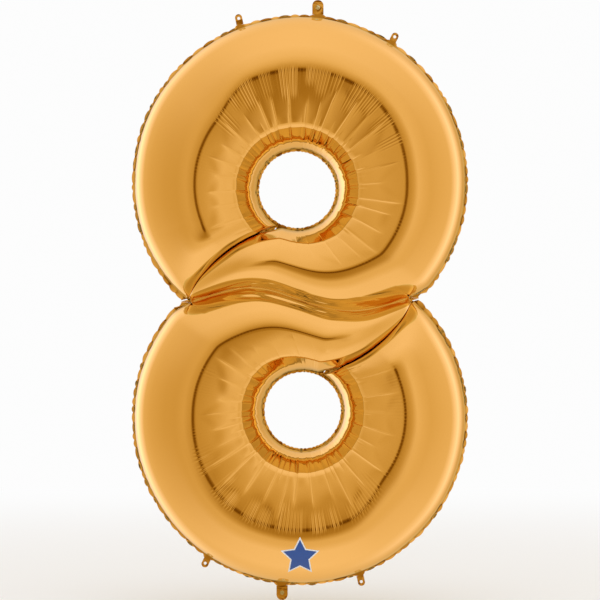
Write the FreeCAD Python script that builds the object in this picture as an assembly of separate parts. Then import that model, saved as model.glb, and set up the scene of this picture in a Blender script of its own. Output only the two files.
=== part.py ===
import FreeCAD
import Part
import os
from math import atan2, cos, pi, radians, sin

# Foil number balloon in the shape of a figure 8, in millimetres.
# The seam lies in the plane Y = 0, the front faces -Y and +Z is up. The origin is the centre
# of the figure, which looks the same after half a turn about Y: the upper loop is drawn here,
# and the lower loop is the upper one turned.

# Outline, measured to the cut edge of the seam.
OVERALL_HEIGHT = 1016.0      # from the tip of one inflation neck to the tip of the other
LOOP_HALF_WIDTH = 285.0      # each loop is very nearly round
LOOP_HALF_HEIGHT = 284.0
LOOP_Z = 199.4
HOLE_X = -4.6
HOLE_Z = 186.7
HOLE_RADIUS = 64.3
WAIST_NOTCH = (-212.0, -3.0)
WAIST_NOTCH_RADIUS = 10.0

# Blown-up section. The film is about 0.05 thick, and FOIL is the wall that stands in for it.
HALF_DEPTH = 90.0
FOIL = 1.2
SEAM = 4.5                   # flat welded margin outside the gas space
SEAM_THICKNESS = 1.2

# The slit closes the loop: an arc from the hole to the waist, with the tube's blind end above
# it and the tube's other end tapering away below it.
SLIT_AT_HOLE = (-39.5, 123.2)
SLIT_MIDDLE = (-138.1, 69.1)
SLIT_AT_WAIST = (-193.5, -8.0)
SLIT_SEAM = 3.0              # welded margin on each side of the slit
SLIT_CUT = 0.8
SLIT_END = 0.955             # share of the arc at which the cut turns out to the notch
BLIND_END = 100.0            # length over which the blind end rises to full depth
TAPER = 180.0                # length over which the other end falls away

# The S-shaped valley across the waist, where the two loops run into each other.
VALLEY_WAVE = 172.0          # half wave
VALLEY_SWING = 18.5
VALLEY_OVERLAP = 34.0        # how far each tube reaches past the valley's lowest line
VALLEY_REACH = 194.0
WAIST_HALF = 184.0           # the waist's rows end this far from the centre
HOLE_TURN = -60.0            # x at which the waist's rows leave the hole and follow the slit
TAPER_START = 0.03           # share of the slit's arc at which the taper starts
TAPER_SHAPE = 0.5            # how late the tapering end loses its height: 1 is a cosine

# Angles at the hole's and the loop's centre, in degrees from +X.
BLIND_AT_HOLE = 239.5
BLIND_AT_EDGE = 227.0
TUBE_START = 200.0
TUBE_END = -38.0
WAIST_START = -48.0
WAIST_END = -114.0

# How finely the skin is laid out.
COLUMNS = 10
BLIND_ROWS = 5
TUBE_ROWS = 15
WAIST_ROWS = 6

# Inflation neck and its self-sealing valve.
NECK_X = 30.3
NECK_WIDTH = 19.0
PORT_RADIUS = 3.8
PORT_FROM_TIP = 12.5
CHANNEL_WIDTH = 12.0
CHANNEL_HEIGHT = 0.4
FILM_WIDTH = 14.0
FILM_LENGTH = 110.0
FILM_TOP = 474.5
FILM_THICKNESS = 0.3
FILM_SPACING = 0.2
FILM_CORNER = 4.0

# Hanging tabs: x and z of the hole, and the lean from upright in degrees.
TABS = {"left": (-103.8, 476.8, -12.0), "right": (160.4, 445.6, 26.0)}
TAB_WIDTH = 12.0
TAB_END = 7.2                # from the hole's centre to the rounded end
TAB_ROOT = 40.0              # drawn this far back, then trimmed along the seam
TAB_HOLE_RADIUS = 2.5
TAB_THICKNESS = 1.0

FOLD_GAP = 1.4               # free space at the fold of a neck or a tab
SEAM_JOINT = 7.0             # where the hole's seam is told apart from the slit's
CLEAR = 10.0                 # how far a cutting shape runs past what it cuts
SLIT_RUN_OUT = -0.1          # share of the arc at which the cut starts, inside the hole
FLAT = 1e-3                  # a face no deeper than this lies in the seam plane

Vector = FreeCAD.Vector
CENTRE = Vector(0, 0, 0)
DEPTHWAYS = Vector(0, 1, 0)


def blend(a, b, share):
    return a + (b - a) * share


def plan(x, z):
    """A point in the plane of the seam."""
    return Vector(x, 0, z)


def half_turn(shape):
    """The same shape on the other loop."""
    turned = shape.copy()
    turned.rotate(CENTRE, DEPTHWAYS, 180)
    return turned


def joined(shape):
    """The shape of the upper loop together with the lower one."""
    return shape.fuse(half_turn(shape))


def mirrored(shape):
    """The same shape behind the seam."""
    return shape.mirror(CENTRE, DEPTHWAYS)


def plate(face, thickness):
    """A plate with the outline of face, lying half in front of the seam plane."""
    solid = face.extrude(Vector(0, thickness, 0))
    solid.translate(Vector(0, -thickness / 2, 0))
    return solid


def disc(x, z, radius, thickness):
    return Part.makeCylinder(radius, thickness, Vector(x, -thickness / 2, z), DEPTHWAYS)


def slab(x_low, x_high, z_low, z_high, thickness):
    return Part.makeBox(x_high - x_low, thickness, z_high - z_low, Vector(x_low, -thickness / 2, z_low))


SLIT_ARC = Part.Arc(plan(*SLIT_AT_HOLE), plan(*SLIT_MIDDLE), plan(*SLIT_AT_WAIST)).toShape().Curve
SLIT_CENTRE = SLIT_ARC.Center
SLIT_RADIUS = SLIT_ARC.Radius


def slit_angle(share):
    first = atan2(SLIT_AT_HOLE[1] - SLIT_CENTRE.z, SLIT_AT_HOLE[0] - SLIT_CENTRE.x)
    last = atan2(SLIT_AT_WAIST[1] - SLIT_CENTRE.z, SLIT_AT_WAIST[0] - SLIT_CENTRE.x)
    return blend(first, last, share)


def slit_point(share, offset):
    """Point beside the slit, from the hole at 0 to the waist at 1."""
    angle = slit_angle(share)
    return SLIT_CENTRE + plan(cos(angle), sin(angle)) * (SLIT_RADIUS + offset)


def hole_point(angle):
    """Foot of the skin around the hole."""
    return plan(HOLE_X, HOLE_Z) + plan(cos(radians(angle)), sin(radians(angle))) * (HOLE_RADIUS + SEAM)


def edge_point(angle):
    """Foot of the skin along the outside of the loop."""
    x = (LOOP_HALF_WIDTH - SEAM) * cos(radians(angle))
    z = (LOOP_HALF_HEIGHT - SEAM) * sin(radians(angle))
    return plan(x, LOOP_Z + z)


def valley_point(x):
    """Edge of the upper loop's tube across the waist, a little inside the lower loop's."""
    reach = VALLEY_OVERLAP * (1 - (x / VALLEY_REACH) ** 2)
    return plan(x, -VALLEY_SWING * sin(pi * x / VALLEY_WAVE) - reach)


def tube_rows(inset):
    """Rows across the tube: inner foot, outer foot, how far it follows the slit, and height."""
    full = HALF_DEPTH - inset
    rows = []
    inner_shift = slit_point(0, SLIT_SEAM) - hole_point(BLIND_AT_HOLE)
    outer_shift = slit_point(SLIT_END, SLIT_SEAM) - edge_point(BLIND_AT_EDGE)
    for k in range(BLIND_ROWS + 1):
        rise = pi / 2 * k / BLIND_ROWS
        share = blend(inset / BLIND_END, 1, 1 - cos(rise))
        inner = hole_point(blend(BLIND_AT_HOLE, TUBE_START, share)) + inner_shift * (1 - share)
        outer = edge_point(blend(BLIND_AT_EDGE, TUBE_START, share)) + outer_shift * (1 - share)
        rows.append((inner, outer, 1 - share, full * sin(rise)))
    for k in range(1, TUBE_ROWS + 1):
        angle = blend(TUBE_START, TUBE_END, k / TUBE_ROWS)
        rows.append((hole_point(angle), edge_point(angle), 0, full))
    for k in range(WAIST_ROWS + 1):
        share = k / WAIST_ROWS
        inner = hole_point(blend(WAIST_START, WAIST_END, share))
        rows.append((inner, valley_point(blend(WAIST_HALF, HOLE_TURN, share)), 0, full))
    for k in range(1, WAIST_ROWS + 1):
        share = k / WAIST_ROWS
        drawn_in = inset if k == WAIST_ROWS else 0
        fall = 0 if k == WAIST_ROWS else cos(pi / 2 * share) ** TAPER_SHAPE
        inner = slit_point(blend(TAPER_START, SLIT_END, share - drawn_in / TAPER), -SLIT_SEAM)
        outer = valley_point(blend(HOLE_TURN, drawn_in - WAIST_HALF, share))
        rows.append((inner, outer, 0, full * fall))
    return rows


def skin_points(inset):
    """Points of the front skin: a row is half an oval that stands square to the seam."""
    first, last = slit_point(0, SLIT_SEAM), slit_point(SLIT_END, SLIT_SEAM)
    points = []
    for inner, outer, along_slit, height in tube_rows(inset):
        across = (outer - inner).normalize()
        start = inner + across * inset
        width = outer - across * inset - start
        row = []
        for k in range(COLUMNS + 1):
            angle = pi * k / COLUMNS
            share = (1 - cos(angle)) / 2
            bow = slit_point(SLIT_END * share, SLIT_SEAM) - (first + (last - first) * share)
            point = start + width * share + bow * along_slit
            on_foot = k in (0, COLUMNS)
            row.append(Vector(point.x, 0 if on_foot else -height * sin(angle), point.z))
        points.append(row)
    return points


def gas_space(inset):
    """Front half of the upper loop as a solid, drawn in by inset from the outside of the skin."""
    skin = Part.BSplineSurface()
    skin.interpolate(skin_points(inset))
    front = skin.toShape()
    flat = Part.Face(Part.Wire(Part.__sortEdges__(front.Edges)))
    solid = Part.makeSolid(Part.makeShell([front, flat]))
    if solid.Volume < 0:
        solid.reverse()
    return solid


def loop_face(grow):
    """Outline of the upper loop, grown by grow."""
    ellipse = Part.Ellipse(CENTRE, LOOP_HALF_WIDTH + grow, LOOP_HALF_HEIGHT + grow).toShape()
    ellipse.rotate(CENTRE, Vector(1, 0, 0), 90)
    ellipse.translate(plan(0, LOOP_Z))
    return Part.Face(Part.Wire([ellipse]))


def slit_band(half_width, thickness):
    """Band along the slit from inside the hole to where the cut turns out to the notch."""
    start, end = slit_angle(SLIT_RUN_OUT), slit_angle(SLIT_END)
    low, high = SLIT_RADIUS - half_width, SLIT_RADIUS + half_width

    def corner(radius, angle):
        return SLIT_CENTRE + plan(cos(angle), sin(angle)) * radius

    def arc(radius, first, last):
        middle = corner(radius, (first + last) / 2)
        return Part.Arc(corner(radius, first), middle, corner(radius, last)).toShape()

    edges = [arc(high, start, end), Part.makeLine(corner(high, end), corner(low, end)),
             arc(low, end, start), Part.makeLine(corner(low, start), corner(high, start))]
    return plate(Part.Face(Part.Wire(edges)), thickness)


def cut_to_notch(thickness):
    """The last stretch of the cut, from the end of the arc out to the waist notch."""
    start = slit_point(SLIT_END, 0)
    end = plan(*WAIST_NOTCH)
    along = (end - start).normalize()
    side = along.cross(DEPTHWAYS) * (SLIT_CUT / 2)
    start = start - along * SLIT_CUT
    corners = [start + side, end + side, end - side, start - side, start + side]
    return plate(Part.Face(Part.makePolygon(corners)), thickness)


def seam_plate(gas):
    """The whole welded margin, both loops in one."""
    deep = SEAM_THICKNESS + CLEAR
    solid = joined(plate(loop_face(0), SEAM_THICKNESS))
    channel = slab(NECK_X - CHANNEL_WIDTH / 2, NECK_X + CHANNEL_WIDTH / 2, LOOP_Z, OVERALL_HEIGHT / 2,
                   CHANNEL_HEIGHT)
    tools = [disc(HOLE_X, HOLE_Z, HOLE_RADIUS, deep), disc(*WAIST_NOTCH, WAIST_NOTCH_RADIUS, deep),
             slit_band(SLIT_CUT / 2, deep), cut_to_notch(deep), channel]
    for tool in tools:
        solid = solid.cut(tool).cut(half_turn(tool))
    for face in gas.Faces:
        if face.BoundBox.YLength < FLAT:
            solid = solid.cut(plate(face, deep))
    return solid


def biggest(shape, count):
    """The largest solids of a shape, from the farthest from the slit's centre to the nearest."""
    solids = sorted(shape.Solids, key=lambda solid: -solid.Volume)[:count]
    return sorted(solids, key=lambda solid: -(solid.CenterOfMass - SLIT_CENTRE).Length)


def seams(gas):
    """The welded margin, told apart into the hole's rim, the slit's two sides and the loop's edge."""
    deep = SEAM_THICKNESS + CLEAR
    whole = seam_plate(gas)
    around_hole = disc(HOLE_X, HOLE_Z, HOLE_RADIUS + SEAM + SEAM_JOINT, deep)
    along_slit = slit_band(SLIT_CUT / 2 + SLIT_SEAM + SEAM_JOINT, deep)
    upper = slab(-LOOP_HALF_WIDTH - CLEAR, LOOP_HALF_WIDTH + CLEAR, 0, OVERALL_HEIGHT, deep)
    rim = whole.common(around_hole)
    rest = whole.cut(around_hole).cut(half_turn(around_hole))
    sides = rest.common(along_slit)
    edge = rest.cut(along_slit).cut(half_turn(along_slit)).common(upper)
    return rim, sides, edge


def neck():
    """Front and back ply of the upper inflation neck. The port is in the front ply only."""
    tip = OVERALL_HEIGHT / 2
    radius = NECK_WIDTH / 2
    port_z = tip - PORT_FROM_TIP
    shape = slab(NECK_X - radius, NECK_X + radius, LOOP_Z, tip - radius, SEAM_THICKNESS)
    shape = shape.fuse(disc(NECK_X, tip - radius, radius, SEAM_THICKNESS)).removeSplitter()
    shape = shape.cut(plate(loop_face(FOLD_GAP), SEAM_THICKNESS + CLEAR))
    half = CHANNEL_WIDTH / 2
    channel = slab(NECK_X - half, NECK_X + half, LOOP_Z, port_z, CHANNEL_HEIGHT)
    shape = shape.cut(channel.fuse(disc(NECK_X, port_z, half, CHANNEL_HEIGHT)))
    in_front = Part.makeBox(2 * NECK_WIDTH, CLEAR, tip, Vector(NECK_X - NECK_WIDTH, -CLEAR, 0))
    front = shape.common(in_front).cut(disc(NECK_X, port_z, PORT_RADIUS, CLEAR))
    return front, shape.cut(in_front)


def valve_film():
    """Front film of the upper valve. It lies against the back film and hangs into the gas."""
    half = FILM_WIDTH / 2
    y = -FILM_SPACING / 2 - FILM_THICKNESS
    corner = Vector(NECK_X - half, y, FILM_TOP - FILM_LENGTH)
    film = Part.makeBox(FILM_WIDTH, FILM_THICKNESS, FILM_LENGTH, corner)
    lower = [edge for edge in film.Edges
             if edge.BoundBox.ZMax < FILM_TOP - CLEAR and edge.BoundBox.YLength > FILM_THICKNESS / 2]
    return film.makeFillet(FILM_CORNER, lower)


def hang_tab(x, z, lean):
    half = TAB_WIDTH / 2
    shape = slab(-half, half, -TAB_ROOT, TAB_END - half, TAB_THICKNESS)
    shape = shape.fuse(disc(0, TAB_END - half, half, TAB_THICKNESS)).removeSplitter()
    shape = shape.cut(disc(0, 0, TAB_HOLE_RADIUS, TAB_THICKNESS + CLEAR))
    shape.rotate(CENTRE, DEPTHWAYS, lean)
    shape.translate(plan(x, z))
    return shape.cut(plate(loop_face(FOLD_GAP), TAB_THICKNESS + CLEAR))


def pieces():
    outside = joined(gas_space(0))
    gas = joined(gas_space(FOIL))
    rim, sides, edge = seams(gas)
    front = outside.cut(gas).cut(slab(-OVERALL_HEIGHT, OVERALL_HEIGHT, -OVERALL_HEIGHT, OVERALL_HEIGHT,
                                      SEAM_THICKNESS))
    made = {"front_panel": front, "back_panel": mirrored(front)}

    blind_side, waist_side = biggest(sides, 2)
    upper = {"loop_seam": biggest(edge, 1)[0], "hole_seam": biggest(rim, 1)[0],
             "slit_seam_blind_side": blind_side, "slit_seam_waist_side": waist_side}
    for name, shape in upper.items():
        made["upper_" + name] = shape
        made["lower_" + name] = half_turn(shape)

    front_ply, back_ply = neck()
    film = valve_film()
    at_the_top = {"neck_front_ply": front_ply, "neck_back_ply": back_ply,
                  "valve_front_film": film, "valve_back_film": mirrored(film)}
    for name, shape in at_the_top.items():
        made["top_" + name] = shape
        made["bottom_" + name] = half_turn(shape)

    opposite = {"left": "right", "right": "left"}
    for side, place in TABS.items():
        tab = hang_tab(*place)
        made["top_" + side + "_hang_tab"] = tab
        made["bottom_" + opposite[side] + "_hang_tab"] = half_turn(tab)
    return made


os.makedirs("parts", exist_ok=True)
for node, shape in pieces().items():
    if len(shape.Solids) != 1:
        raise ValueError(node + " is not one solid")
    shape.Solids[0].exportStep("parts/" + node + ".step")
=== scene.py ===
from math import radians
from types import SimpleNamespace

import bpy
import numpy as np
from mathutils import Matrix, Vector
from mathutils.bvhtree import BVHTree


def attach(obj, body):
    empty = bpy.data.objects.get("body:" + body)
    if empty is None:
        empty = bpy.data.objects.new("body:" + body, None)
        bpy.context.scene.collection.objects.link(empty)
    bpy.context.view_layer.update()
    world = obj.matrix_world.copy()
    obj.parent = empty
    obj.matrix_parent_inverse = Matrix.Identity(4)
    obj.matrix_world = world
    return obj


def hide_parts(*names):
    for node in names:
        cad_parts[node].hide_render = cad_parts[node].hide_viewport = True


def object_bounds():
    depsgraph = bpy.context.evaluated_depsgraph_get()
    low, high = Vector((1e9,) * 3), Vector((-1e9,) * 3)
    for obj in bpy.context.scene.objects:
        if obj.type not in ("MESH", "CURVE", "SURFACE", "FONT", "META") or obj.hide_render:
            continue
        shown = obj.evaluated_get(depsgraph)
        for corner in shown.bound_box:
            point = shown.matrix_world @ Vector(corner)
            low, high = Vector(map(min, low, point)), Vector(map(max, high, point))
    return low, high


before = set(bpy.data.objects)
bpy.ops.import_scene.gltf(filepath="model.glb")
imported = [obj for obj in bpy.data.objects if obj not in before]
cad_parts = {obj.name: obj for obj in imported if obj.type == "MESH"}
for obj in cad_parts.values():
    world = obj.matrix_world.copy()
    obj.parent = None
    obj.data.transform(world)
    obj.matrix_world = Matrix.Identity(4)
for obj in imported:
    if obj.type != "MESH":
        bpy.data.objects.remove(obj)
cad_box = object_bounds()

# The balloon's film is laid out in millimetres, in the frame's axes, and scaled at the end. The upper
# loop is drawn, and half a turn about Y gives the lower one. Directions are in degrees, with 0 at +X.
MM = 0.001
LOOP_HALF_WIDTH = 285.0
LOOP_HALF_HEIGHT = 284.0
LOOP_Z = 199.4
HOLE = np.array([-4.6, 186.7])
HOLE_RADIUS = 64.3
SEAM = 4.5           # width of the welded margin round a loop or a hole
HALF_DEPTH = 88.0
TIP = 508.0          # height of the top neck's end

# The slit is an arc through three points, from the hole to the waist. Shares run along it from 0 to 1.
SLIT_ARC = ((-39.5, 123.2), (-138.1, 69.1), (-193.5, -8.0))
SLIT_SEAM = 3.0
SLIT_START = 0.03    # share at which the waist's film begins to follow the slit
SLIT_END = 0.955     # share at which both sides leave it for the outer seam
SLIT_CUT = -1.2      # between the edges of the two margins, which lap over one another
MOUTH = -0.03        # share at which the margins open into the hole

# The valley between the loops is a wave across the waist, with a rounded notch at each end.
VALLEY_WAVE = 172.0
VALLEY_SWING = 18.5
VALLEY_HALF = 184.0
VALLEY_HEIGHT = 58.0
VALLEY_RATIO = 1.03  # the crest is at least this many times as high as the valley
WAIST_NOTCH = np.array([212.0, 3.0])
NOTCH_RADIUS = 10.0
NOTCH_EDGE = np.array([NOTCH_RADIUS, 0.4])    # from the notch's centre to where the slit's margins end
NOTCH_TURN = (75, 180)

# Where the stretches of the tube begin and end, by direction from the hole or from the loop's middle.
BLIND_INNER = 239.5
BLIND_OUTER = 227.0
BLIND_BACK = 200.0   # the blind end turns into the plain tube
TUBE_END = -42.0
WAIST_INNER = (-48.0, -114.0)
HOLE_TURN = -60.0    # x at which the waist's film passes from the hole to the slit
EDGE_SPAN = (-41.1, 224.8)    # directions between which the loop's outer edge runs

# Rows run along the tube, columns across it from the hole to the outside.
BLIND_ROWS = 64
TUBE_ROWS = 741
WAIST_ROWS = 241
RIM_COLUMNS = 17
WALL_COLUMNS = 16
OUTER_COLUMNS = 28
CREST = RIM_COLUMNS + WALL_COLUMNS
FINE_COLUMNS = CREST + 2
STRIP_COLUMNS = 6    # across a welded margin
MOUTH_STEPS = 6      # along the margins' short joining lines
WEB_STEPS = 16
NOTCH_STEPS = 24
SMOOTHING = 40       # rounds of averaging along the rows
BLENDING = 60        # the same for what fades from one zone to another

# Section of the tube beside the hole: distance from the hole's seam and height above the seam
# plane. A roll at the seam, a steep wall, and a crease where the gentler wall begins.
RIM_SECTION = np.array([(0, 0), (1.5, 15), (4, 27), (8, 39), (12, 46.5), (16, 52), (26, 63.8), (36, 75.6)])
RIM_TUBE = 190.0     # narrower tubes have a narrower rim
CONE_FADE = 1.0      # share of the way to the crest over which the gentler wall levels out
BLUNT = 4.0          # how square the blind end rises from the slit: 2 is an ellipse
WAIST_BLUNT = 2.8    # the same for the other side of the slit
OUTER_CROWDING = 1.4
OVERHANG = 11.0      # how far the film leans over its seam along the slit
OVERHANG_REACH = 16.0
SLIT_GAP = 0.3       # what is left open on each side

# Necks and hanging tabs: x and z of a tab's hole, and its lean from upright in degrees.
NECK_X = 30.3
NECK_WIDTH = 19.0
PORT_RADIUS = 3.8
NO_PORT = 0.05       # the rings of a ply without a port close round a point
PORT_FROM_TIP = 12.5
TABS = {"left": (-103.8, 476.8, -12.0), "right": (160.4, 445.6, 26.0)}
OPPOSITE = {"left": "right", "right": "left"}
TAB_WIDTH = 12.0
TAB_END = 7.2
TAB_HOLE_RADIUS = 2.5
FOLD_GAP = 1.4       # from the loop's edge to the root of a neck or tab
SHEET_GAP = 0.35     # from the seam plane to a neck's ply or a tab
SHEET_RINGS = 15
SHEET_SIDES = 160
LINING_GAP = 0.15    # from a neck's back ply to its bare inner face

# The welded margin rises flat to each root. Where a root lies low by its fold's axis the margin
# stops short of it, so that the folded film swings clear.
ROOT_CLEAR = 0.25
ROOT_LAP = 0.05      # how far it reaches past the root elsewhere
ROOT_LOW = (0.6, 1.0)
ROOT_FILLET = 3.0    # how far it rises beside a neck or a tab
SCALLOP = 0.24       # depth of the scallops as a share of their shortest length
RUFFLE_HEIGHT = 0.11    # height of the ruffles as a share of their length
RUFFLES = {"hole": 5.0, "slit": 2.5, "loop": 11.0}

STAR_PLACE = np.array([0.0, -428.0])
STAR_RADIUS = 34.0
STAR_WAIST = 0.5
STAR_CORNERS = 11    # five points and five waists, and the first point again
STAR_RINGS = 26

FILM_SEED = 3
MARGIN_SEED = 21
SHEET_SEED = 34

GOLD = (0.90, 0.56, 0.20)
SILVER = (0.86, 0.86, 0.87)
CLEAR = (0.9, 0.92, 0.93)
BLUE = (0.004, 0.07, 0.33)
WHITE = (0.85, 0.85, 0.85)
FLOOR_GREY = (0.9, 0.9, 0.9)

# Studio: brightness towards the right, left, top and bottom, by degrees from straight ahead. Most
# levels were worked out from colours sampled along four lines across the photograph, each put at the
# angle estimated for the film there, and were then changed from render to render.
SKY_RIGHT = ((0, 0.1), (3.5, 0.28), (6, 0.56), (10, 0.63), (15, 0.72), (22, 0.92), (32, 0.86), (44, 0.81),
             (66, 0.86), (89, 0.9), (112, 1.35), (126, 1.0), (137, 0.72), (155, 0.7), (180, 0.3))
SKY_LEFT = ((0, 0.1), (3.5, 0.3), (6, 0.64), (18, 0.75), (32, 0.70), (52, 0.72), (85, 0.80), (104, 0.88),
            (116, 1.2), (132, 1.6), (150, 1.2), (180, 0.3))
SKY_UP = ((0, 0.1), (3.5, 0.28), (6, 0.50), (10, 0.63), (16, 0.78), (22, 0.88), (30, 0.96), (50, 1.04),
          (86, 1.04), (125, 1.0), (150, 0.9), (180, 0.3))
SKY_DOWN = ((0, 0.1), (3.5, 0.25), (6, 0.40), (15, 0.46), (20, 0.60), (27, 0.84), (36, 0.88), (50, 1.03),
            (86, 1.04), (125, 0.9), (150, 0.8), (180, 0.3))
WARM = (1.0, 0.83, 0.60)       # tint of the light where its level is 1
WARMER = (0.0, 0.39, 2.1)      # how much warmer the dim parts of the studio are
PAPER = 0.98                   # brightness of the plain background

# Not physical: light that comes to a fold after two or more reflections has this paler tint, because
# the gold would otherwise turn orange where film faces film, and the photograph shows brown.
PALE = (0.82, 0.86, 0.60)
FIRST_REFLECTION = 2           # ray depth at which light comes after one reflection

# Lamp, floor and camera, in metres.
LAMP_SIZE = 2.4
LAMP_PLACE = (0.3, -0.4, 3.0)
LAMP_WATTS = 9
FLOOR_GAP = 0.012              # the floor lies this far under the balloon
FLOOR_RINGS = (0.001, 0.5, 1.0, 2.0, 3.0, 4.5)
FLOOR_SIDES = 96
FLOOR_FADE = (0.9, 3.2)        # the floor passes into plain paper between these radii
CAMERA_AWAY = 5.0
SENSOR_MM = 36


def lerp(a, b, share):
    return a + (b - a) * share


def smoothstep(a, b, x):
    t = np.clip((x - a) / (b - a), 0, 1)
    return t * t * (3 - 2 * t)


def length(vectors):
    return np.sqrt(np.einsum("...k,...k->...", vectors, vectors))


def half_turn(points):
    """The same points on the other loop."""
    return points * np.array([-1.0, 1.0, -1.0])


def circle_through(a, b, c):
    """Centre and radius of the circle through three points of the seam plane."""
    (ax, az), (bx, bz), (cx, cz) = a, b, c
    d = 2 * (ax * (bz - cz) + bx * (cz - az) + cx * (az - bz))
    a2, b2, c2 = ax**2 + az**2, bx**2 + bz**2, cx**2 + cz**2
    x = (a2 * (bz - cz) + b2 * (cz - az) + c2 * (az - bz)) / d
    z = (a2 * (cx - bx) + b2 * (ax - cx) + c2 * (bx - ax)) / d
    return np.array([x, z]), np.hypot(ax - x, az - z)


SLIT_CENTRE, SLIT_RADIUS = circle_through(*SLIT_ARC)
SLIT_FIRST, SLIT_LAST = [np.arctan2(z - SLIT_CENTRE[1], x - SLIT_CENTRE[0]) for x, z in SLIT_ARC[::2]]


def around(centre, radius, angle):
    """Point or points of a circle in the seam plane, as x and z."""
    return np.stack([centre[0] + radius * np.cos(angle), centre[1] + radius * np.sin(angle)], -1)


def slit_point(share, offset):
    """Point or points along the slit, offset outwards from its arc's centre."""
    return around(SLIT_CENTRE, SLIT_RADIUS + offset, lerp(SLIT_FIRST, SLIT_LAST, np.asarray(share, float)))


def slit_share(points):
    """How far along the slit a point of the seam plane lies, from the hole at 0 to the waist at 1."""
    angle = np.arctan2(points[..., 1] - SLIT_CENTRE[1], points[..., 0] - SLIT_CENTRE[0])
    return (angle - SLIT_FIRST) / (SLIT_LAST - SLIT_FIRST)


def hole_point(degrees):
    """Foot of the film at the hole."""
    return around(HOLE, HOLE_RADIUS + SEAM, np.radians(degrees))


def edge_point(degrees):
    """Foot of the film at the loop's outer seam."""
    angle = np.radians(degrees)
    x = (LOOP_HALF_WIDTH - SEAM) * np.cos(angle)
    z = (LOOP_HALF_HEIGHT - SEAM) * np.sin(angle)
    return np.stack([x, LOOP_Z + z], -1)


def travelled(points):
    """Distance along a line of points."""
    return np.concatenate([[0], np.cumsum(length(np.diff(points, axis=0)))])


def averaged(values, times, fixed):
    """Values smoothed along the rows, apart from the fixed ones."""
    out = values.copy()
    free = ~fixed[1:-1]
    for _ in range(times):
        middle = (out[:-2] + 2 * out[1:-1] + out[2:]) / 4
        out[1:-1][free] = middle[free]
    return out


def tube_rows():
    """Inner and outer foot of every row, how far it follows the slit, its height, and where it is.

    The rows start at the blind end above the slit, run round the ring, and go along the waist."""
    rise = np.linspace(0, np.pi / 2, BLIND_ROWS + 1)
    share = 1 - np.cos(rise)
    fade = (1 - share)[:, None]
    inner_shift = slit_point(0, SLIT_SEAM) - hole_point(BLIND_INNER)
    outer_shift = slit_point(SLIT_END, SLIT_SEAM) - edge_point(BLIND_OUTER)
    inner = [hole_point(lerp(BLIND_INNER, BLIND_BACK, share)) + inner_shift * fade]
    outer = [edge_point(lerp(BLIND_OUTER, BLIND_BACK, share)) + outer_shift * fade]

    angle = lerp(BLIND_BACK, TUBE_END, np.arange(1, TUBE_ROWS + 1) / TUBE_ROWS)
    inner.append(hole_point(angle))
    outer.append(edge_point(angle))

    x = np.linspace(VALLEY_HALF, -VALLEY_HALF, WAIST_ROWS)
    on_hole = hole_point(lerp(*WAIST_INNER, np.clip((VALLEY_HALF - x) / (VALLEY_HALF - HOLE_TURN), 0, 1)))
    along = np.clip((HOLE_TURN - x) / (HOLE_TURN + VALLEY_HALF), 0, 1)
    on_slit = slit_point(lerp(SLIT_START, SLIT_END, along), -SLIT_SEAM)
    inner.append(np.where((x >= HOLE_TURN)[:, None], on_hole, on_slit))
    outer.append(np.stack([x, -VALLEY_SWING * np.sin(np.pi * x / VALLEY_WAVE)], -1))

    others = BLIND_ROWS + 1 + TUBE_ROWS
    waist = np.arange(others + WAIST_ROWS) >= others
    nothing = np.zeros_like(waist)
    blind = np.arange(len(waist)) <= BLIND_ROWS
    rising = (1 - (1 - share) ** BLUNT) ** (1 / BLUNT)
    height = np.concatenate([rising, np.ones(TUBE_ROWS), np.sqrt(np.cos(np.pi / 2 * along))]) * HALF_DEPTH
    valley_x = np.concatenate([np.full(others, VALLEY_HALF), x])
    valley = VALLEY_HEIGHT * (1 - (valley_x / VALLEY_HALF) ** 2) ** 0.75
    ring = np.concatenate([np.ones(others), 1 - smoothstep(0.0, 0.35, along)])
    return {
        "inner": averaged(np.concatenate(inner), SMOOTHING, nothing),
        "outer": averaged(np.concatenate(outer), SMOOTHING, waist),
        "bow": np.concatenate([1 - share, np.zeros(TUBE_ROWS + WAIST_ROWS)]),
        "height": np.maximum(averaged(height, SMOOTHING, blind), valley * VALLEY_RATIO) * (height > 0),
        "valley": valley,
        "waist": waist,
        "x": valley_x,
        "ring": averaged(ring, BLENDING, nothing),
        "on_waist": averaged(waist.astype(float), BLENDING, nothing),
    }


def square_arch(width, height, angle):
    """Points of a quarter arch, blunter than an ellipse, from its foot at 0 to its top at a right angle."""
    share = 1 - np.cos(angle)
    return np.stack([width * share, height * (1 - (1 - share) ** WAIST_BLUNT) ** (1 / WAIST_BLUNT)], -1)


def crest_share(angle):
    """Where the crest lies between the hole's foot and the outer foot, by direction in degrees."""
    return 0.485 + 0.093 * smoothstep(142, 112, angle) - 0.056 * smoothstep(60, 0, angle)


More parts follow.
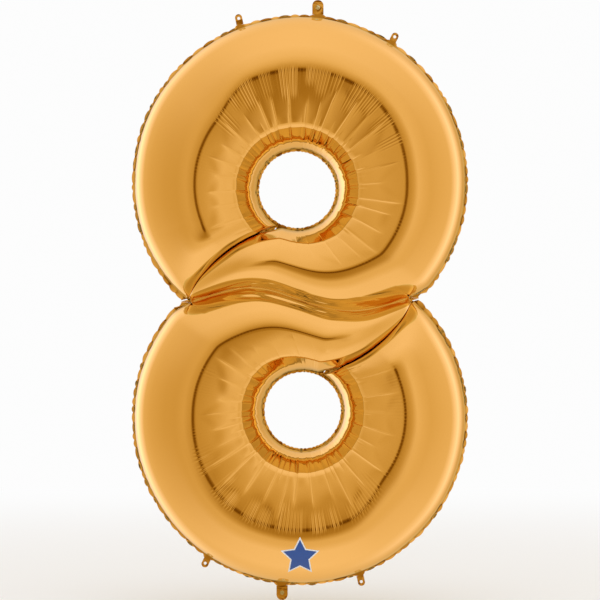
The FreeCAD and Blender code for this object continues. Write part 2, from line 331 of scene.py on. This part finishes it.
def section(width, height, ring, crest, valley):
    """One row's section as three stretches of points (distance from the inner foot, height)."""
    scale = min(1.0, width / RIM_TUBE)
    rim = RIM_SECTION * [scale, height / HALF_DEPTH]
    t = np.linspace(0, 1, 60)
    knots = np.linspace(0, 1, len(rim))
    rough = np.stack([np.interp(t, knots, rim[:, 0]), np.interp(t, knots, rim[:, 1])], -1)
    rough = averaged(rough, 10, np.zeros(len(t), bool))
    end = np.arccos(np.clip(1 - rough[-1, 0] / (crest * width), 0, 1))
    first = lerp(square_arch(crest * width, height, end * t), rough, ring)

    start = first[-1]
    plain = square_arch(crest * width, height, lerp(end, np.pi / 2, t))
    level = (1 - np.exp(-t / CONE_FADE)) / (1 - np.exp(-1 / CONE_FADE))
    cone = np.stack([lerp(start[0], crest * width, t), lerp(start[1], height, level)], -1)
    second = lerp(plain, cone, ring)
    second[0] = start

    end = np.pi - np.arcsin(np.clip(valley / max(height, 1e-6), 0, 1))
    angle = lerp(np.pi / 2, end, t)
    reach = (1 - crest) * width
    third = np.stack([crest * width - reach * np.cos(angle) / -np.cos(end), height * np.sin(angle)], -1)
    return first, second, third


def resampled(points, count, crowding=1.0):
    """Points along a stretch, without its first: the more crowding, the closer towards its end."""
    steps = travelled(points)
    places = (1 - (1 - np.linspace(0, 1, count + 1)[1:]) ** crowding) * steps[-1]
    return np.stack([np.interp(places, steps, points[:, k]) for k in (0, 1)], -1)


def leaned(points):
    """The film leans over its seams along the slit, so that its two sides nearly touch."""
    away = points[..., [0, 2]] - SLIT_CENTRE
    radius = length(away)
    share = slit_share(points[..., [0, 2]])
    offset = radius - SLIT_RADIUS
    distance = np.abs(offset)
    lean = np.minimum(OVERHANG * np.exp(-(distance / OVERHANG_REACH) ** 2), distance - SLIT_GAP)
    lean = np.maximum(lean, 0) * smoothstep(3, 16, -points[..., 1])
    lean *= smoothstep(-0.04, 0.2, share) * smoothstep(1.0, 0.93, share)
    shift = away / radius[..., None] * (-np.sign(offset) * lean)[..., None]
    return points + np.stack([shift[..., 0], 0 * lean, shift[..., 1]], -1)


def film_shape(rows):
    """Points of the front film over the upper loop, row by row, before it wrinkles."""
    count = len(rows["bow"])
    first, last = slit_point(0, SLIT_SEAM), slit_point(SLIT_END, SLIT_SEAM)
    points = np.zeros((count, 1 + CREST + OUTER_COLUMNS, 3))
    middle = (rows["inner"] + rows["outer"]) / 2 - HOLE
    angle = np.degrees(np.unwrap(np.arctan2(middle[:, 1], middle[:, 0])))
    angle += 360 * (angle[0] < 0)
    for k in range(count):
        inner, outer = rows["inner"][k], rows["outer"][k]
        width = np.hypot(*(outer - inner))
        ring = rows["ring"][k]
        crest = lerp(0.5, crest_share(angle[k]), ring)
        stretches = section(width, rows["height"][k], ring, crest, rows["valley"][k])
        sizes = (RIM_COLUMNS, WALL_COLUMNS, OUTER_COLUMNS)
        crowding = (1.0, 1.0, lerp(1.0, OUTER_CROWDING, rows["on_waist"][k]))
        line = [resampled(*stretch) for stretch in zip(stretches, sizes, crowding)]
        line = np.concatenate([[[0, 0]]] + line)
        share = line[:, 0] / width
        bow = slit_point(SLIT_END * share, SLIT_SEAM) - (first + (last - first) * share[:, None])
        plan = inner + (outer - inner) * share[:, None] + bow * rows["bow"][k]
        points[k] = np.stack([plan[:, 0], -line[:, 1], plan[:, 1]], -1)
    points[0, :, 1] = 0
    points[-1, :, 1] = 0
    points[:, 0, 1] = 0
    points[~rows["waist"], -1, 1] = 0
    return leaned(points)


def normals(points):
    """Outward directions of a grid of points."""
    along = np.gradient(points, axis=0)
    across = np.gradient(points, axis=1)
    n = np.cross(along, across)
    return n / (length(n)[..., None] + 1e-9)


def cusp(x, width):
    """A sharp fold at 0 that fades over width."""
    return np.exp(-np.abs(x) / width)


def fold_places(total, low, high, random):
    """Distances along an edge at which folds lie, low to high apart."""
    places = [-random.uniform(0, high)]
    while places[-1] < total:
        places.append(places[-1] + random.uniform(low, high))
    return np.array(places)


def facets(along, places, bulge, tilt, random):
    """Height of a film that folds at each place: every stretch between is crowned and tilted."""
    tall = np.zeros_like(along)
    for low, high in zip(places[:-1], places[1:]):
        inside = (along >= low) & (along < high)
        u = (along[inside] - low) / (high - low)
        gap = high - low
        crown = random.uniform(0.5, 1.5) * bulge * gap * (1 - (2 * u - 1) ** 2)
        tall[inside] += crown + random.uniform(-1, 1) * tilt * gap * (u - 0.5)
    return tall


def film_zones(points, rows):
    """Where each point lies: along the tube, and how far across the rim, the wall and the outer side."""
    along = travelled(points[:, CREST])[:, None]
    spacing = length(np.gradient(points, axis=0))
    column = np.arange(points.shape[1])[None, :]
    angle = np.degrees(np.arctan2(points[:, CREST, 2] - LOOP_Z, points[:, CREST, 0]))
    return SimpleNamespace(
        along=along,
        total=along[-1, 0],
        stretch=np.clip(spacing / (spacing[:, CREST:CREST + 1] + 1e-6), 0.15, 1.5),
        rim=np.clip(column / RIM_COLUMNS, 0, 1),
        wall=np.clip((column - RIM_COLUMNS) / WALL_COLUMNS, 0, 1),
        outer=np.clip((column - CREST) / OUTER_COLUMNS, 0, 1),
        far_side=(smoothstep(8, 34, angle) * smoothstep(152, 138, angle))[:, None],
        ring=rows["ring"][:, None],
        waist=rows["on_waist"][:, None],
        x=rows["x"][:, None],
    )


def fold_inner_side(tall, at, random):
    """Folds between the hole and the crest. This and the next three add to the height of each point."""
    # Radial folds from the crest to the hole part the inner side into flat facets.
    skew = 4 * np.sin(at.along / 61 + random.uniform(0, 6)) + 3 * np.sin(at.along / 23 + random.uniform(0, 6))
    bent = at.along + skew * (1 - at.wall)
    places = fold_places(at.total + 20, 24, 44, random)
    reach = np.interp(at.along, places, random.uniform(0.45, 1.0, len(places)))
    on_wall = smoothstep(0.5, 0.75, at.rim) * at.ring * smoothstep(reach, reach - 0.25, at.wall)
    tall += facets(bent, places, 0.009, 0.035, random) * on_wall
    for place in places:
        deep = random.uniform(0.15, 0.6)
        tall -= deep * cusp((bent - place) * at.stretch, 1.3) * on_wall

    # The steep band beside the roll is creased more closely.
    places = fold_places(at.total + 20, 16, 42, random)
    on_band = smoothstep(0.42, 0.62, at.rim) * smoothstep(0.22, 0.0, at.wall) * at.ring
    tall += facets(bent, places, 0.010, 0.05, random) * on_band
    for place in places:
        if random.random() < 0.5:
            tall += random.uniform(0.2, 0.7) * cusp((bent - place) * at.stretch, 1.0) * on_band

    # Small dents where the roll around the hole turns into the steep band.
    for place in fold_places(at.total + 20, 13, 34, random):
        deep = random.uniform(0.1, 0.7)
        centre = random.uniform(0.5, 0.68)
        on_roll = np.exp(-((at.rim - centre) / 0.13) ** 2) * (at.wall < 0.01) * at.ring
        tall -= deep * cusp((bent - place) * at.stretch, 1.6) * on_roll

    # The roll itself is puckered by its seam.
    on_roll = np.exp(-((at.rim - 0.3) / 0.2) ** 2) * (at.rim < 0.9) * at.ring
    for place in fold_places(at.total + 20, 11, 30, random):
        tall -= random.uniform(-0.2, 0.55) * cusp((bent - place) * at.stretch, 1.5) * on_roll


def add_hair_wrinkles(tall, at, random):
    """Wrinkles as fine as hairs that start at the crest, in groups, most of them on the loop's far side."""
    for place in fold_places(at.total, 20, 46, random):
        size = random.uniform(9, 17)
        pitch = random.uniform(4.8, 6.4)
        low = random.uniform(0.42, 0.7)
        deep = random.uniform(0.3, 0.75)
        wave = -cusp((at.along - place) % pitch - pitch / 2, 0.6)
        hair = smoothstep(low, low + 0.14, at.wall) * smoothstep(0.09, 0.0, at.outer)
        elsewhere = 0.12 * (random.random() < 0.5)
        strength = np.clip(at.far_side * 1.15 + elsewhere, 0, 1)
        tall += deep * wave * np.exp(-((at.along - place) / size) ** 4) * hair * strength


def wrinkle_outer_side(tall, at, random):
    """Puckers where the film meets the outer seam, and slow unevenness of the taut film inside them."""
    on_edge = smoothstep(0.86, 0.985, at.outer) * (1 - at.waist)
    for place in fold_places(1.6 * at.total, 9, 19, random):
        tall -= random.uniform(0.5, 1.7) * cusp(1.6 * at.along - place, 3.4) * on_edge
    for _ in range(8):
        pitch = random.uniform(90, 240)
        lean = random.uniform(-2, 2)
        wave = np.sin(2 * np.pi * at.along / pitch + random.uniform(0, 6) + lean * at.outer)
        tall += 0.16 * wave * smoothstep(0, 0.5, at.outer)


def crease_waist(tall, at, random):
    """Creases that run with the valley, and short ticks across both its ends, beside the notches."""
    out_there = smoothstep(VALLEY_HALF, 0.5 * VALLEY_HALF, np.abs(at.x)) * at.waist
    for _ in range(26):
        centre = random.uniform(0.55, 1.0)
        drift = random.uniform(-0.2, 0.2)
        deep = random.uniform(0.4, 1.5)
        middle = random.uniform(-130, 130)
        span = random.uniform(45, 120)
        line = at.outer - centre - drift * (at.x - middle) / VALLEY_HALF
        line = line + 0.02 * np.sin(at.x / 17 + random.uniform(0, 6))
        tall -= deep * cusp(line, 0.028) * np.exp(-((at.x - middle) / span) ** 2) * out_there
    for side in (-1, 1):
        for place in fold_places(50, 4, 9, random):
            across = (at.x - side * (VALLEY_HALF - 14 - place)) * at.stretch
            on_end = np.exp(-((at.outer - random.uniform(0.55, 0.85)) / 0.16) ** 2) * at.waist
            tall -= random.uniform(0.1, 0.5) * cusp(across, 1.4) * on_end


def wrinkles(points, rows, random):
    """Height of every wrinkle above the smooth film, in millimetres."""
    at = film_zones(points, rows)
    tall = np.zeros(points.shape[:2])
    fold_inner_side(tall, at, random)
    add_hair_wrinkles(tall, at, random)
    tall *= 1 - 0.6 * at.waist
    wrinkle_outer_side(tall, at, random)
    crease_waist(tall, at, random)
    return tall * smoothstep(14, 60, at.along)


def front_film(rows, smooth):
    """The wrinkled film of both loops and the valley's rows. Half a turn takes the lower loop into place."""
    outwards = normals(smooth)
    free = np.ones(smooth.shape[:2])
    free[0] = free[-1] = free[:, 0] = 0
    free[~rows["waist"], -1] = 0
    halves = []
    for k in range(2):
        tall = wrinkles(smooth, rows, np.random.default_rng(FILM_SEED + k))
        halves.append(smooth + outwards * (tall * free)[..., None])
    valley = np.nonzero(rows["waist"])[0]
    shared = (halves[0][valley, -1] + half_turn(halves[1][valley[::-1], -1])) / 2
    halves[0][valley, -1] = shared
    halves[1][valley[::-1], -1] = half_turn(shared)
    return halves, valley


def mesh_piece(name, points, faces, material, body):
    """A visible piece from points in millimetres, which moves with a body."""
    mesh = bpy.data.meshes.new(name)
    mesh.from_pydata((np.asarray(points) * MM).tolist(), [], faces)
    mesh.validate()
    mesh.shade_smooth()
    mesh.materials.append(material)
    piece = bpy.data.objects.new(name, mesh)
    bpy.context.collection.objects.link(piece)
    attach(piece, body)
    return piece


def quads(index):
    """Faces between the rows and columns of a grid of vertex numbers."""
    return np.stack([index[:-1, :-1], index[:-1, 1:], index[1:, 1:], index[1:, :-1]], -1).reshape(-1, 4)


def film_faces(index):
    """Faces of one loop. The taut outer side has every second row only."""
    fine = quads(index[:, :FINE_COLUMNS])
    coarse = quads(index[::2, FINE_COLUMNS:])
    low, high = index[:, FINE_COLUMNS - 1], index[:, FINE_COLUMNS]
    between = np.stack([low[:-2:2], high[:-2:2], high[2::2], low[2::2], low[1:-1:2]], -1)
    return [fine, coarse, between]


def film_panel(name, halves, valley, behind, material):
    """Both loops of a panel as one mesh, joined along the valley."""
    shape = halves[0].shape[:2]
    upper = np.arange(shape[0] * shape[1]).reshape(shape)
    lower = upper + upper.size
    same = np.arange(2 * upper.size)
    same[lower[valley[::-1], -1]] = upper[valley, -1]
    points = np.concatenate([halves[0].reshape(-1, 3), half_turn(halves[1]).reshape(-1, 3)])
    parts = [same[part] for half in (upper, lower) for part in film_faces(half)]
    used = np.unique(np.concatenate([part.ravel() for part in parts]))
    place = np.zeros(len(points), int)
    place[used] = np.arange(len(used))
    order = slice(None) if behind else slice(None, None, -1)
    faces = [face for part in parts for face in place[part][:, order].tolist()]
    points = points[used] * ([1.0, -1.0, 1.0] if behind else 1.0)
    return mesh_piece(name, points, faces, material, "balloon")


def ruffled_strip(foot, edge, ruffle, roots, random):
    """A welded margin from foot to edge, both lines of x and z, ruffled more towards its edge.

    It rises flat to each root where a neck or a tab folds: a point, a half width and the way up."""
    places = fold_places(travelled(edge)[-1], ruffle, 2.2 * ruffle, random)
    along = travelled(edge)
    crown = np.zeros(len(along))
    bump = np.zeros(len(along))
    for low, high in zip(places[:-1], places[1:]):
        inside = (along >= low) & (along < high)
        arch = 1 - (2 * (along[inside] - low) / (high - low) - 1) ** 2
        bump[inside] = arch * random.uniform(0.5, 1.0)
        crown[inside] = arch * random.choice([-1, 1]) * random.uniform(0.3, 1.0)
    out = edge - foot
    out = out / (length(out)[:, None] + 1e-9)
    rise = (bump - 0.75) * ruffle * SCALLOP
    for point, half_width, up in roots:
        rooted = np.exp(-(length(edge - point) / (half_width + ROOT_FILLET)) ** 8)
        reach = (point - edge) @ up / np.maximum(out @ up, 0.5)
        reach = reach + lerp(-ROOT_CLEAR, ROOT_LAP, smoothstep(*ROOT_LOW, reach))
        rise = lerp(rise, reach, rooted)
        crown *= 1 - rooted
    edge = edge + out * rise[:, None]
    t = np.linspace(0, 1, STRIP_COLUMNS)[None, :, None]
    plan = foot[:, None] + (edge - foot)[:, None] * t
    y = crown[:, None] * t[..., 0] ** 1.5 * ruffle * RUFFLE_HEIGHT
    return np.stack([plan[..., 0], y, plan[..., 1]], -1)


def seam_lines(rows, smooth):
    """Foot and edge of each welded margin of the upper loop, and the length of its ruffles."""
    tube = ~rows["waist"]
    plan = smooth[..., [0, 2]]
    turn = np.argmax(rows["waist"] & (rows["x"] < HOLE_TURN))
    foot = plan[:turn, 0]
    away = foot - HOLE
    hole = (foot, HOLE + away / length(away)[:, None] * HOLE_RADIUS)

    mouth = np.linspace(0, 1, MOUTH_STEPS)[:-1, None]
    foot = plan[turn:, 0]
    edge = slit_point(slit_share(foot), -SLIT_CUT / 2)
    web = np.linspace(0, 1, WEB_STEPS)[:, None]
    foot = np.concatenate([lerp(hole[1][-1], foot[0], mouth), foot, lerp(foot[-1], plan[-1, -1], web)])
    edge = np.concatenate([lerp(slit_point(MOUTH, -SLIT_CUT / 2), edge[0], mouth), edge,
                           lerp(edge[-1], -WAIST_NOTCH + NOTCH_EDGE, web)])
    waist_side = (foot, edge)
    foot = plan[0]
    edge = slit_point(slit_share(foot), SLIT_CUT / 2)
    foot = np.concatenate([lerp(hole[1][0], foot[0], mouth), foot])
    edge = np.concatenate([lerp(slit_point(MOUTH, SLIT_CUT / 2), edge[0], mouth), edge])
    blind_side = (foot, edge)

    foot = plan[tube, -1]
    angle = np.unwrap(np.arctan2((foot[:, 1] - LOOP_Z) / LOOP_HALF_HEIGHT, foot[:, 0] / LOOP_HALF_WIDTH))
    angle = angle + (2 * np.pi if angle[0] < 0 else 0)
    angle = np.clip(angle, *np.radians(EDGE_SPAN))
    edge = np.stack([LOOP_HALF_WIDTH * np.cos(angle), LOOP_Z + LOOP_HALF_HEIGHT * np.sin(angle)], -1)
    turn = np.radians(np.linspace(*NOTCH_TURN, NOTCH_STEPS))
    web = WAIST_NOTCH + NOTCH_RADIUS * np.stack([np.cos(turn), np.sin(turn)], -1)
    corner = plan[rows["waist"], -1][0]
    web_foot = lerp(foot[-1], corner, np.linspace(0, 1, NOTCH_STEPS)[:, None])
    loop = (np.concatenate([foot, web_foot]), np.concatenate([edge, web]))
    return {"hole_seam": (hole, RUFFLES["hole"]), "slit_seam_waist_side": (waist_side, RUFFLES["slit"]),
            "slit_seam_blind_side": (blind_side, RUFFLES["slit"]), "loop_seam": (loop, RUFFLES["loop"])}


def seam_pieces(rows, smooth, material):
    random = np.random.default_rng(MARGIN_SEED)
    roots = [(np.array([NECK_X, loop_top(NECK_X) + FOLD_GAP]), NECK_WIDTH / 2, np.array([0.0, 1.0]))]
    for x, z, lean in TABS.values():
        lean = np.radians(lean)
        up = np.array([np.sin(lean), np.cos(lean)])
        roots.append((np.array([x, z]) - tab_root(x, z, lean) * up, TAB_WIDTH / 2, up))
    for name, ((foot, edge), ruffle) in seam_lines(rows, smooth).items():
        for loop in ("upper_", "lower_"):
            points = ruffled_strip(foot, edge, ruffle, roots if name == "loop_seam" else [], random)
            index = np.arange(points[..., 0].size).reshape(points.shape[:2])
            points = points.reshape(-1, 3)
            points = points if loop == "upper_" else half_turn(points)
            piece = mesh_piece(loop + name + "_margin", points, quads(index).tolist(), material, "balloon")
            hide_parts(loop + name)


def crinkles(points, size, random):
    """Height of a small flat piece of film that has been handled: a few soft folds across it."""
    tall = np.zeros(len(points))
    for _ in range(7):
        way = random.uniform(0, np.pi)
        line = points @ np.array([np.cos(way), np.sin(way)]) - random.uniform(-1, 1) * size
        tall += random.uniform(-0.22, 0.22) * cusp(line, random.uniform(1.2, 4.0))
    return tall


def sheet_outline(angle, half_width, top, bottom):
    """How far from a hole at the origin the outline of an upright round-ended strip lies."""
    c, s = np.cos(angle), np.sin(angle)
    side = half_width / np.maximum(np.abs(c), 1e-6)
    centre = top - half_width
    b = s * centre
    cap = b + np.sqrt(np.maximum(b * b - centre * centre + half_width**2, 0))
    foot = bottom / np.maximum(-s, 1e-6)
    straight = np.minimum(side, foot)
    return np.where((s > 0) & (side * s > centre), cap, straight)


def flat_sheet(name, hole, hole_radius, half_width, top, bottom, lean, behind, random, material, body):
    """A round-ended strip of film around a hole, drawn in rings from the hole to the outline."""
    angle = np.linspace(0, 2 * np.pi, SHEET_SIDES + 1)[:-1]
    share = np.linspace(0, 1, SHEET_RINGS)[:, None]
    reach = lerp(hole_radius, sheet_outline(angle, half_width, top, bottom)[None, :], share)
    plan = np.stack([reach * np.cos(angle), reach * np.sin(angle)], -1).reshape(-1, 2)
    rooted = smoothstep(-bottom, -bottom + 6, plan[:, 1])
    y = crinkles(plan, half_width, random) * rooted + (SHEET_GAP if behind else -SHEET_GAP)
    c, s = np.cos(np.radians(lean)), np.sin(np.radians(lean))
    x = hole[0] + plan[:, 0] * c + plan[:, 1] * s
    z = hole[1] - plan[:, 0] * s + plan[:, 1] * c
    index = np.arange(len(plan)).reshape(len(share), len(angle))
    index = np.concatenate([index, index[:, :1]], axis=1)
    points = np.stack([x, y, z], -1)
    if name.startswith("bottom"):
        points = half_turn(points)
    return mesh_piece(name, points, quads(index).tolist(), material, body)


def lining(name, ply, material, body):
    """The bare inner face of a neck's back ply, seen through the port."""
    points = np.array([vertex.co for vertex in ply.data.vertices]) / MM
    faces = [list(face.vertices) for face in ply.data.polygons]
    return mesh_piece(name, points - [0, LINING_GAP, 0], faces, material, body)


def necks_and_tabs(gold, silver):
    random = np.random.default_rng(SHEET_SEED)
    for end in ("top", "bottom"):
        port = (NECK_X, TIP - PORT_FROM_TIP)
        root = port[1] - loop_top(NECK_X) - FOLD_GAP
        for ply, hole in (("front", PORT_RADIUS), ("back", NO_PORT)):
            node = end + "_neck_" + ply + "_ply"
            piece = flat_sheet(node + "_film", port, hole, NECK_WIDTH / 2, PORT_FROM_TIP, root, 0,
                               ply == "back", random, gold, end + "_neck")
            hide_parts(node)
        lining(end + "_neck_lining", piece, silver, end + "_neck")
        for side, (x, z, lean) in TABS.items():
            on_side = side if end == "top" else OPPOSITE[side]
            node = end + "_" + on_side + "_hang_tab"
            root = tab_root(x, z, np.radians(lean))
            piece = flat_sheet(node + "_film", (x, z), TAB_HOLE_RADIUS, TAB_WIDTH / 2, TAB_END, root,
                               lean, False, random, gold, node)
            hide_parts(node)


def loop_top(x):
    """Height of the loop's upper edge at x."""
    return LOOP_Z + LOOP_HALF_HEIGHT * np.sqrt(1 - (x / LOOP_HALF_WIDTH) ** 2)


def tab_root(x, z, lean):
    """Distance from a tab's hole back to its root, just outside the loop's edge."""
    reach = np.linspace(0, 40, 400)
    across = (x - reach * np.sin(lean)) / (LOOP_HALF_WIDTH + FOLD_GAP)
    up = (z - reach * np.cos(lean) - LOOP_Z) / (LOOP_HALF_HEIGHT + FOLD_GAP)
    return reach[np.argmax(across**2 + up**2 < 1)]


def star_print(film, blue, white):
    """A plain star printed on the film: a thin skin that follows the film's surface."""
    mesh = film.data
    tree = BVHTree.FromPolygons([v.co for v in mesh.vertices], [p.vertices for p in mesh.polygons])
    corner = np.arange(STAR_CORNERS)
    turn = np.radians(90 + 36 * corner)
    shares = np.linspace(0, 1, STAR_RINGS)[:, None, None]
    steps = np.linspace(0, 1, 15)[:-1]
    for name, size, lift, material in (("star_outline", 1.0, 0.25, white), ("star", 0.86, 0.45, blue)):
        radius = STAR_RADIUS * size * np.where(corner % 2 == 0, 1.0, STAR_WAIST)
        corners = np.stack([radius * np.cos(turn), radius * np.sin(turn)], -1)
        ring = np.concatenate([lerp(a, b, steps[:, None]) for a, b in zip(corners[:-1], corners[1:])])
        ring = np.concatenate([ring, ring[:1]])
        plan = (STAR_PLACE + ring[None] * np.maximum(shares, 1e-3)).reshape(-1, 2)
        points = []
        for x, z in plan:
            place, normal, _, _ = tree.ray_cast(Vector((x * MM, -1, z * MM)), Vector((0, 1, 0)))
            points.append(place / MM + normal * (lift if normal.y < 0 else -lift))
        index = np.arange(len(plan)).reshape(STAR_RINGS, len(ring))
        piece = mesh_piece(name, np.array(points), quads(index).tolist(), material, "balloon")


def new_material(name, colour, metallic, roughness):
    """A material with its node tree and its shader."""
    material = bpy.data.materials.new(name)
    material.use_nodes = True
    shader = material.node_tree.nodes["Principled BSDF"]
    shader.inputs["Base Color"].default_value = (*colour, 1)
    shader.inputs["Metallic"].default_value = metallic
    shader.inputs["Roughness"].default_value = roughness
    return material, material.node_tree, shader


def film_bump(tree, shader, scale, strength):
    """The faint unevenness of thin film, finer than any wrinkle."""
    place = tree.nodes.new("ShaderNodeTexCoord")
    noise = tree.nodes.new("ShaderNodeTexNoise")
    noise.inputs["Scale"].default_value = scale
    noise.inputs["Detail"].default_value = 3
    bump = tree.nodes.new("ShaderNodeBump")
    bump.inputs["Strength"].default_value = strength
    bump.inputs["Distance"].default_value = 0.001
    tree.links.new(place.outputs["Object"], noise.inputs["Vector"])
    tree.links.new(noise.outputs["Fac"], bump.inputs["Height"])
    tree.links.new(bump.outputs["Normal"], shader.inputs["Normal"])


def gold_foil():
    material, tree, shader = new_material("gold_foil", GOLD, 1.0, 0.06)
    film_bump(tree, shader, 60, 0.03)
    return material


def silver_foil():
    material, tree, shader = new_material("silver_foil", SILVER, 1.0, 0.18)
    film_bump(tree, shader, 80, 0.06)
    return material


def clear_film():
    material, tree, shader = new_material("clear_film", CLEAR, 0.0, 0.12)
    shader.inputs["Alpha"].default_value = 0.55
    film_bump(tree, shader, 120, 0.1)
    return material


def ink(name, colour):
    material, tree, shader = new_material(name, colour, 0.0, 0.3)
    shader.inputs["Coat Weight"].default_value = 0.3
    film_bump(tree, shader, 150, 0.05)
    return material


def sky_colour(nodes, links, direction):
    """Light of the studio by direction, and the paler light for what comes after a second reflection.

    Straight ahead is dim, and large soft areas lie beside, above and below."""

    def linked(made, operation, values):
        made.operation = operation
        for socket, value in zip(made.inputs, values):
            if isinstance(value, (float, tuple)):
                socket.default_value = value
            else:
                links.new(value, socket)
        return made

    def maths(operation, *values):
        return linked(nodes.new("ShaderNodeMath"), operation, values).outputs["Value"]

    def vector(operation, *values):
        return linked(nodes.new("ShaderNodeVectorMath"), operation, values).outputs["Vector"]

    axes = nodes.new("ShaderNodeSeparateXYZ")
    links.new(direction, axes.inputs[0])
    x, y, z = axes.outputs
    turn = maths("MULTIPLY", maths("ARCCOSINE", maths("MULTIPLY", y, -1.0)), 1 / np.pi)
    side = maths("ADD", maths("ADD", maths("MULTIPLY", x, x), maths("MULTIPLY", z, z)), 1e-6)
    total = (0.0, 0.0, 0.0)
    skies = ((x, 1.0, SKY_RIGHT), (x, -1.0, SKY_LEFT), (z, 1.0, SKY_UP), (z, -1.0, SKY_DOWN))
    for axis, sign, stops in skies:
        ramp = nodes.new("ShaderNodeValToRGB")
        elements = ramp.color_ramp.elements
        while len(elements) < len(stops):
            elements.new(0.5)
        for element, (degrees, level) in zip(elements, stops):
            element.position = degrees / 180
            tint = [min(warm * level**more, 1) for warm, more in zip(WARM, WARMER)]
            element.color = (*[level * share for share in tint], 1)
        links.new(turn, ramp.inputs[0])
        part = maths("MAXIMUM", maths("MULTIPLY", axis, sign), 0.0)
        weight = maths("DIVIDE", maths("MULTIPLY", part, part), side)
        total = vector("ADD", vector("MULTIPLY", ramp.outputs["Color"], weight), total)
    level = nodes.new("ShaderNodeSeparateXYZ")
    links.new(total, level.inputs[0])
    return total, vector("MULTIPLY", PALE, level.outputs["X"])


def studio():
    """Soft light all round, which only reflections see. Everything else sees plain paper and one lamp."""
    world = bpy.data.worlds.new("studio")
    bpy.context.scene.world = world
    world.use_nodes = True
    nodes, links = world.node_tree.nodes, world.node_tree.links
    nodes.clear()
    place = nodes.new("ShaderNodeTexCoord")
    light = nodes.new("ShaderNodeBackground")
    path = nodes.new("ShaderNodeLightPath")
    deep = nodes.new("ShaderNodeMath")
    deep.operation = "GREATER_THAN"
    deep.inputs[1].default_value = FIRST_REFLECTION + 0.5
    links.new(path.outputs["Ray Depth"], deep.inputs[0])
    blend = nodes.new("ShaderNodeMix")
    blend.data_type = "VECTOR"
    links.new(deep.outputs["Value"], blend.inputs["Factor"])
    for colour, socket in zip(sky_colour(nodes, links, place.outputs["Generated"]), (4, 5)):
        links.new(colour, blend.inputs[socket])
    links.new(blend.outputs[1], light.inputs["Color"])
    plain = nodes.new("ShaderNodeBackground")
    plain.inputs["Color"].default_value = (*[PAPER] * 3, 1)
    mix = nodes.new("ShaderNodeMixShader")
    links.new(path.outputs["Is Glossy Ray"], mix.inputs[0])
    links.new(plain.outputs[0], mix.inputs[1])
    links.new(light.outputs[0], mix.inputs[2])
    out = nodes.new("ShaderNodeOutputWorld")
    links.new(mix.outputs[0], out.inputs["Surface"])

    data = bpy.data.lights.new("overhead_softbox", "AREA")
    data.shape = "DISK"
    data.size = LAMP_SIZE
    data.energy = LAMP_WATTS
    lamp = bpy.data.objects.new("overhead_softbox", data)
    lamp.location = LAMP_PLACE
    lamp.visible_glossy = False
    bpy.context.collection.objects.link(lamp)


def floor():
    """A pale round floor that fades into the paper behind it."""
    turn = np.linspace(0, 2 * np.pi, FLOOR_SIDES + 1)[:-1]
    rings = np.array(FLOOR_RINGS)[:, None]
    low = cad_box[0][2] - FLOOR_GAP
    points = np.stack([rings * np.cos(turn), rings * np.sin(turn), 0 * rings * turn + low], -1).reshape(-1, 3)
    index = np.arange(len(points)).reshape(len(rings), len(turn))
    index = np.concatenate([index, index[:, :1]], axis=1)
    mesh = bpy.data.meshes.new("floor")
    mesh.from_pydata(points.tolist(), [], quads(index)[:, ::-1].tolist())
    piece = bpy.data.objects.new("floor", mesh)
    bpy.context.collection.objects.link(piece)

    material, tree, shader = new_material("floor", FLOOR_GREY, 0.0, 0.6)
    nodes, links = tree.nodes, tree.links
    place = nodes.new("ShaderNodeTexCoord")
    reach = nodes.new("ShaderNodeVectorMath")
    reach.operation = "LENGTH"
    links.new(place.outputs["Object"], reach.inputs[0])
    fade = nodes.new("ShaderNodeMapRange")
    fade.interpolation_type = "SMOOTHSTEP"
    fade.inputs["From Min"].default_value, fade.inputs["From Max"].default_value = FLOOR_FADE
    links.new(reach.outputs["Value"], fade.inputs["Value"])
    paper = nodes.new("ShaderNodeEmission")
    paper.inputs["Color"].default_value = (*[PAPER] * 3, 1)
    mix = nodes.new("ShaderNodeMixShader")
    links.new(fade.outputs[0], mix.inputs[0])
    links.new(shader.outputs[0], mix.inputs[1])
    links.new(paper.outputs[0], mix.inputs[2])
    links.new(mix.outputs[0], nodes["Material Output"].inputs["Surface"])
    mesh.materials.append(material)
    piece.visible_glossy = False


def camera():
    """The camera stands straight in front, and the seam plane's height fills the picture."""
    data = bpy.data.cameras.new("camera")
    piece = bpy.data.objects.new("camera", data)
    bpy.context.collection.objects.link(piece)
    piece.location = (0, -CAMERA_AWAY, 0)
    piece.rotation_euler = (radians(90), 0, 0)
    data.sensor_width = SENSOR_MM
    data.lens = data.sensor_width * CAMERA_AWAY / (2 * TIP * MM)
    bpy.context.scene.camera = piece


gold, silver, clear = gold_foil(), silver_foil(), clear_film()
rows = tube_rows()
smooth = film_shape(rows)
halves, valley = front_film(rows, smooth)
front = film_panel("front_film", halves, valley, False, gold)
back = film_panel("back_film", halves[::-1], valley, True, gold)
for piece, node in ((front, "front_panel"), (back, "back_panel")):
    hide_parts(node)
seam_pieces(rows, smooth, gold)
necks_and_tabs(gold, silver)
star_print(front, ink("star_blue", BLUE), ink("star_white", WHITE))
for name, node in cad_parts.items():
    if "valve" in name:
        node.data.materials.clear()
        node.data.materials.append(clear)

studio()
floor()
camera()
bpy.context.scene.view_settings.view_transform = "Standard"
